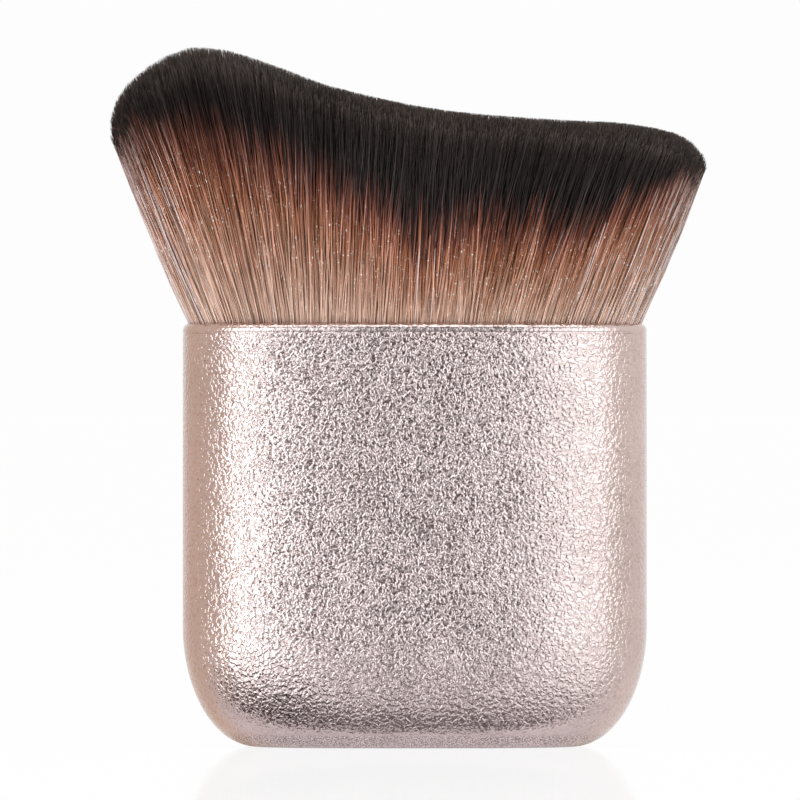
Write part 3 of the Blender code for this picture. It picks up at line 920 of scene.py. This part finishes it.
# Painted glints, which are painted highlights; a silvery grey-pink, which is partly the fibres'
# own colour and partly painted sheen and back light; and reddish fibres
PAINTED_GLINT = (255, 250, 242)
GLINT_LEVELS = (0.59, 0.65, 0.0, 0.95)
GLINT_LENGTH = 90.0
GLINT_APART = 3.1
GLINT_PATCH = 0.23
SILVER = (228, 209, 204)
SILVER_PLAIN = (0.28, 0.5, 0.04, 0.20)
SILVER_PALE = (0.28, 0.46, 0.0, 0.80)
RED_BROWN = (114, 56, 38)
REDNESS = 0.46
RAGGED = 0.12
RAGGED_AT = (0.06, 0.22, 0.2, 1.0)
# Some fibres are brown further up: the share of them, and how far, among plain and pale ones
REACH_CHANCE = (0.03, 0.25)
REACH = (0.08, 0.18)
# The shade of the lightest and darkest fibres, and the streaks along each one
LIGHTEST = 1.18
DARKEST = (1.0, 0.45, 0.80, 0.50)
DARKEST_PALE = 0.84
STREAK = (0.25, 0.75, 0.75, 1.20)
STREAK_LENGTH = 9.0
# The dye from tip to root. Its first stops, paler than the black, are painted light on the thin
# tips.
DYE = (
    (0.000, (150, 134, 125)),
    (0.025, (72, 60, 54)),
    (0.075, (43, 34, 31)),
    (0.230, (30, 23, 21)),
    (0.260, (44, 29, 26)),
    (0.317, (82, 48, 40)),
    (0.364, (116, 64, 48)),
    (0.420, (162, 92, 66)),
    (0.500, (204, 130, 92)),
    (0.570, (223, 156, 121)),
    (0.645, (232, 173, 142)),
    (0.800, (246, 206, 182)),
    (0.920, (251, 218, 199)),
    (1.000, (251, 218, 202)),
)


def fibre_finish():
    """Dip-dyed fibre. Each strip of the map has its own shade, raggedness, redness and painted
    glints. Its silvery grey-pink is partly painted sheen and back light.
    """
    gloss = {"Metallic": 0.0, "Roughness": 0.36, "Specular_IOR_Level": 0.36}
    made, tree, shader = material("dip-dyed fibre", **gloss)
    uv = put(tree, "ShaderNodeUVMap", uv_map="OFBake").outputs[0]
    u, v, _ = put(tree, "ShaderNodeSeparateXYZ", {0: uv}).outputs
    strip = maths(tree, "FLOOR", maths(tree, "MULTIPLY", u, STRIPS))
    chance = put(tree, "ShaderNodeTexWhiteNoise", {"W": strip}, noise_dimensions="1D")
    ragged, redness, _ = put(tree, "ShaderNodeSeparateColor", {0: chance.outputs[1]}).outputs
    bank = maths(tree, "GREATER_THAN", strip, PLAIN_STRIPS - 0.5)
    strips = mix_value(tree, bank, PLAIN_STRIPS, STRIPS - PLAIN_STRIPS)
    shade = maths(tree, "DIVIDE", maths(tree, "MULTIPLY_ADD", bank, -PLAIN_STRIPS, strip), strips)
    shift = maths(tree, "MULTIPLY_ADD", ragged, RAGGED, -RAGGED / 2)
    shift = maths(tree, "MULTIPLY", shift, between(tree, v, *RAGGED_AT))
    reach_up = between(tree, redness, mix_value(tree, bank, *REACH_CHANCE), 0.0)
    reach_up = maths(tree, "MULTIPLY", reach_up, between(tree, v, 0.1, 0.3))
    shift = maths(tree, "MULTIPLY_ADD", reach_up, mix_value(tree, bank, *REACH), shift)
    dye = ramp(tree, maths(tree, "ADD", v, shift), DYE)
    middle = maths(tree, "MULTIPLY", between(tree, v, 0.3, 0.45), between(tree, v, 1.0, 0.6))
    redness = maths(tree, "MULTIPLY", maths(tree, "MULTIPLY", redness, middle), REDNESS)
    colour = mixed(tree, redness, dye, tone(*RED_BROWN))
    # Lighter fibres turn silvery grey-pink from the brown zone down to the root, partly as their
    # own colour and partly as painted sheen. Pale ones turn more so: at the two ends this is
    # painted back light.
    silver = between(tree, shade, 0.35, 1.0)
    silver = maths(tree, "MULTIPLY", silver, between(tree, v, *SILVER_PLAIN))
    silver = mix_value(tree, bank, silver, between(tree, v, *SILVER_PALE))
    colour = mixed(tree, silver, colour, tone(*SILVER))
    place_on = xyz(tree, strip, maths(tree, "MULTIPLY", v, STREAK_LENGTH))
    streak = noise(tree, place_on, 1.0, Detail=2.0)
    dark = mix_value(tree, bank, between(tree, v, *DARKEST), DARKEST_PALE)
    light = mix_value(tree, shade, dark, LIGHTEST)
    light = maths(tree, "MULTIPLY", light, between(tree, streak, *STREAK))
    shade = put(tree, "ShaderNodeCombineColor", {0: light, 1: light, 2: light}).outputs[0]
    colour = mixed(tree, 1.0, colour, shade, "MULTIPLY")
    # Painted glints: near-white spots along the fibres, which are painted highlights
    apart = maths(tree, "MULTIPLY", strip, GLINT_APART)
    place_on = xyz(tree, apart, maths(tree, "MULTIPLY", v, GLINT_LENGTH))
    patch = between(tree, noise(tree, place_on, GLINT_PATCH), 0.48, 0.6)
    glint = between(tree, noise(tree, place_on, 1.0), *GLINT_LEVELS)
    glint = maths(tree, "MULTIPLY", glint, between(tree, v, 0.36, 0.5))
    glint = maths(tree, "MULTIPLY", glint, patch)
    colour = mixed(tree, glint, colour, tone(*PAINTED_GLINT))
    tree.links.new(colour, shader.inputs["Base Color"])
    return made


FIBRES = fibre_tree()
FIBRE_FINISH = fibre_finish()
for number, tuft in enumerate(TUFTS):
    bristles = root_sheet(number)
    grown = bristles.modifiers.new("fibres", "NODES")
    grown.node_group = FIBRES
    seed = FIRST_SEED + SEED_STEP * number
    values = {"Seed": seed, "Finish": FIBRE_FINISH, **FIBRE_SIZES}
    for socket in FIBRES.interface.items_tree:
        if socket.in_out == "INPUT" and socket.name in values:
            grown[socket.identifier] = values[socket.name]
    bristles.data = final_mesh(bristles)
    bristles.modifiers.clear()
    fit(bristles, FIBRE_FINISH, "bristle", tuft)

# Floor. A wide plain white sheet with a slight polish in front of the brush. It keeps the brush's
# shadow, and to the camera it is otherwise as white as the background.
FLOOR_SPAN = 40.0
FLOOR_WHITE = 0.9
GLOW_SHARE = 0.967
GLOSS_ROUGHNESS = 0.06
POLISH = 0.12
POLISH_SIDE = (0.048, 0.030)
POLISH_BACK = (0.006, -0.004)
POLISH_FRONT = (-0.24, -0.15)
SHEEN = (0.4, 0.65, 0.08, 0.55)
# How it looks in a shiny thing, from straight down to a glancing look. Its dark part is painted
# shade near the brush.
FLOOR_LOOK = (
    (0.000, (70, 60, 66)),
    (0.030, (24, 18, 22)),
    (0.140, (24, 18, 22)),
    (0.250, (130, 118, 124)),
    (0.350, (216, 213, 216)),
    (0.920, (214, 214, 214)),
    (1.000, (110, 105, 106)),
)
FLOOR_LEFT = (225, 202, 186)
FLOOR_RIGHT = (240, 230, 226)
FLOOR_UNDER = (228, 222, 226)
# Where it has its colours under and beside the brush, and how far its dark look, which is painted
# shade, reaches on the left. Under the brush, where its shadow lies, its look is painted light.
UNDER_FROM = (-0.0120, -0.0108)
BESIDE_FROM = (0.012, 0.024)
BESIDE_BACK = (-0.0085, -0.0035)
LEFT_REACH = (-0.006, -0.026, 0.0, 0.26)


def floor_finish():
    """White with a shadow to the camera. In the brush's gloss it looks as the tables above say,
    with painted shade near the brush and painted light under it.
    """
    white = (FLOOR_WHITE, FLOOR_WHITE, FLOOR_WHITE, 1.0)
    made, tree, shader = material("white sheet", Roughness=0.5, Base_Color=white)
    end = tree.nodes["Material Output"]
    glow = put(tree, "ShaderNodeEmission", {"Color": (1, 1, 1, 1), "Strength": 1.0})
    path = put(tree, "ShaderNodeLightPath").outputs
    seen = maths(tree, "ADD", path["Is Camera Ray"], path["Is Glossy Ray"])
    seen = maths(tree, "ADD", seen, path["Is Transmission Ray"])
    share = maths(tree, "MULTIPLY", seen, GLOW_SHARE)
    steep = put(tree, "ShaderNodeLayerWeight", {"Blend": 0.5}).outputs["Facing"]
    spot = put(tree, "ShaderNodeTexCoord").outputs["Object"]
    x, y, _ = put(tree, "ShaderNodeSeparateXYZ", {0: spot}).outputs
    reach = between(tree, x, *LEFT_REACH)
    look = ramp(tree, maths(tree, "SUBTRACT", steep, reach), FLOOR_LOOK)
    look = mixed(tree, between(tree, y, *UNDER_FROM), look, tone(*FLOOR_UNDER))
    aside = maths(tree, "ABSOLUTE", x)
    side = between(tree, aside, *BESIDE_FROM)
    side = maths(tree, "MULTIPLY", side, between(tree, y, *BESIDE_BACK))
    right = maths(tree, "GREATER_THAN", x, 0.0)
    look = mixed(tree, side, look, mixed(tree, right, tone(*FLOOR_LEFT), tone(*FLOOR_RIGHT)))
    level = mixed(tree, path["Is Glossy Ray"], (1, 1, 1, 1), look)
    tree.links.new(level, glow.inputs["Color"])
    plain = put(tree, "ShaderNodeMixShader", {0: share, 1: shader.outputs[0], 2: glow.outputs[0]})
    inputs = {"Color": (1, 1, 1, 1), "Roughness": GLOSS_ROUGHNESS}
    gloss = put(tree, "ShaderNodeBsdfGlossy", inputs)
    polish = between(tree, aside, *POLISH_SIDE, 0.0, POLISH)
    polish = maths(tree, "MULTIPLY", polish, between(tree, y, *POLISH_BACK))
    polish = maths(tree, "MULTIPLY", polish, between(tree, y, *POLISH_FRONT))
    sheen = mix_value(tree, path["Is Glossy Ray"], polish, between(tree, steep, *SHEEN))
    shown = put(tree, "ShaderNodeMixShader", {0: sheen, 1: plain.outputs[0], 2: gloss.outputs[0]})
    tree.links.new(shown.outputs[0], end.inputs[0])
    return made


bpy.ops.mesh.primitive_plane_add(size=FLOOR_SPAN)
floor = bpy.context.object
floor.name = "floor"
floor.data.materials.append(floor_finish())

# Light. Softboxes in front of the brush: a strong narrow one to the left, another narrow one
# nearer to the camera, and a wide one to the right. A fourth hangs overhead.
COOL_WHITE = (0.94, 0.975, 1.0)
AIM = Vector((0, 0, 0.045))
# Name, azimuth, distance, rise, width, height and strength
SOFTBOXES = (
    ("left softbox", -40, 0.75, 13, 0.30, 0.52, 2.75),
    ("front softbox", -16, 0.75, 21, 0.27, 0.42, 1.7),
    ("right softbox", 36, 0.75, 13, 0.64, 0.52, 1.75),
    ("top softbox", 0, 0.80, 78, 0.90, 0.60, 1.8),
)
for name, azimuth, distance, rise, width, height, strength in SOFTBOXES:
    lamp = bpy.data.lights.new(name, "AREA")
    lamp.shape = "RECTANGLE"
    lamp.size, lamp.size_y = width, height
    lamp.energy = strength * math.pi * width * height
    lamp.color = COOL_WHITE
    made = bpy.data.objects.new(name, lamp)
    turn, up = math.radians(azimuth), math.radians(rise)
    away = Vector((math.sin(turn) * math.cos(up), -math.cos(turn) * math.cos(up), math.sin(up)))
    made.location = AIM + away * distance
    made.rotation_euler = away.to_track_quat("Z", "Y").to_euler()
    made.visible_camera = False
    bpy.context.scene.collection.objects.link(made)

# Card. A lit white card that lies on the floor to the left, and shows as a bright spot low on
# the handle.
CARD_PLACE = (-0.052, -0.066, 0.001)
CARD_TURN = math.radians(30)
CARD_SIZE = (0.032, 0.075)
CARD_STRENGTH = 2.0
lamp = bpy.data.lights.new("card", "AREA")
lamp.shape = "RECTANGLE"
lamp.size, lamp.size_y = CARD_SIZE
lamp.energy = CARD_STRENGTH * math.pi * CARD_SIZE[0] * CARD_SIZE[1]
card = bpy.data.objects.new("card", lamp)
card.location = CARD_PLACE
card.rotation_euler = (math.pi, 0, CARD_TURN)
card.visible_camera = False
bpy.context.scene.collection.objects.link(card)

# Room. White to the camera and grey as a light. In reflections it is white behind the brush,
# warm to its sides, and dark in front of it, where the camera stands.
LEFT_WALL = (0.76, 0.60, 0.50, 1)
RIGHT_WALL = (0.92, 0.84, 0.80, 1)
DARK_FRONT = (0.080, 0.062, 0.066, 1)
WHITE = (1, 1, 1, 1)
BACKGROUND = (0.983, 0.983, 0.983, 1)
ROOM_LIGHT = (0.45, 0.45, 0.45, 1)
FROM_LEFT = (-0.6, 0.6)
FROM_FRONT = (-0.80, -0.40)
TO_BEHIND = (0.75, 0.98)
world = bpy.data.worlds.new("pale room")
bpy.context.scene.world = world
world.use_nodes = True
room = world.node_tree
sky = room.nodes["Background"]
facing = put(room, "ShaderNodeTexCoord").outputs["Generated"]
across, toward, _ = put(room, "ShaderNodeSeparateXYZ", {0: facing}).outputs
sides = mixed(room, between(room, across, *FROM_LEFT), LEFT_WALL, RIGHT_WALL)
walls = mixed(room, between(room, toward, *FROM_FRONT), DARK_FRONT, sides)
walls = mixed(room, between(room, toward, *TO_BEHIND), walls, WHITE)
path = put(room, "ShaderNodeLightPath").outputs
shiny = maths(room, "ADD", path["Is Glossy Ray"], path["Is Transmission Ray"])
colour = mixed(room, shiny, ROOM_LIGHT, walls)
colour = mixed(room, path["Is Camera Ray"], colour, BACKGROUND)
room.links.new(colour, sky.inputs["Color"])

# Camera. Level with the middle of the brush, a little to its left, as in the photograph.
CAMERA_DISTANCE = 1.0
FRAME_WIDTH = 0.1032
CAMERA_LEFT = 0.0019
CAMERA_HEIGHT = 0.0446
lens = bpy.data.cameras.new("camera")
lens.lens = lens.sensor_width * CAMERA_DISTANCE / FRAME_WIDTH
lens.clip_start = 0.01
camera = bpy.data.objects.new("camera", lens)
camera.location = (-CAMERA_LEFT, -CAMERA_DISTANCE, CAMERA_HEIGHT)
camera.rotation_euler = (math.pi / 2, 0, 0)
bpy.context.scene.collection.objects.link(camera)
bpy.context.scene.camera = camera
bpy.context.scene.view_settings.view_transform = "Standard"
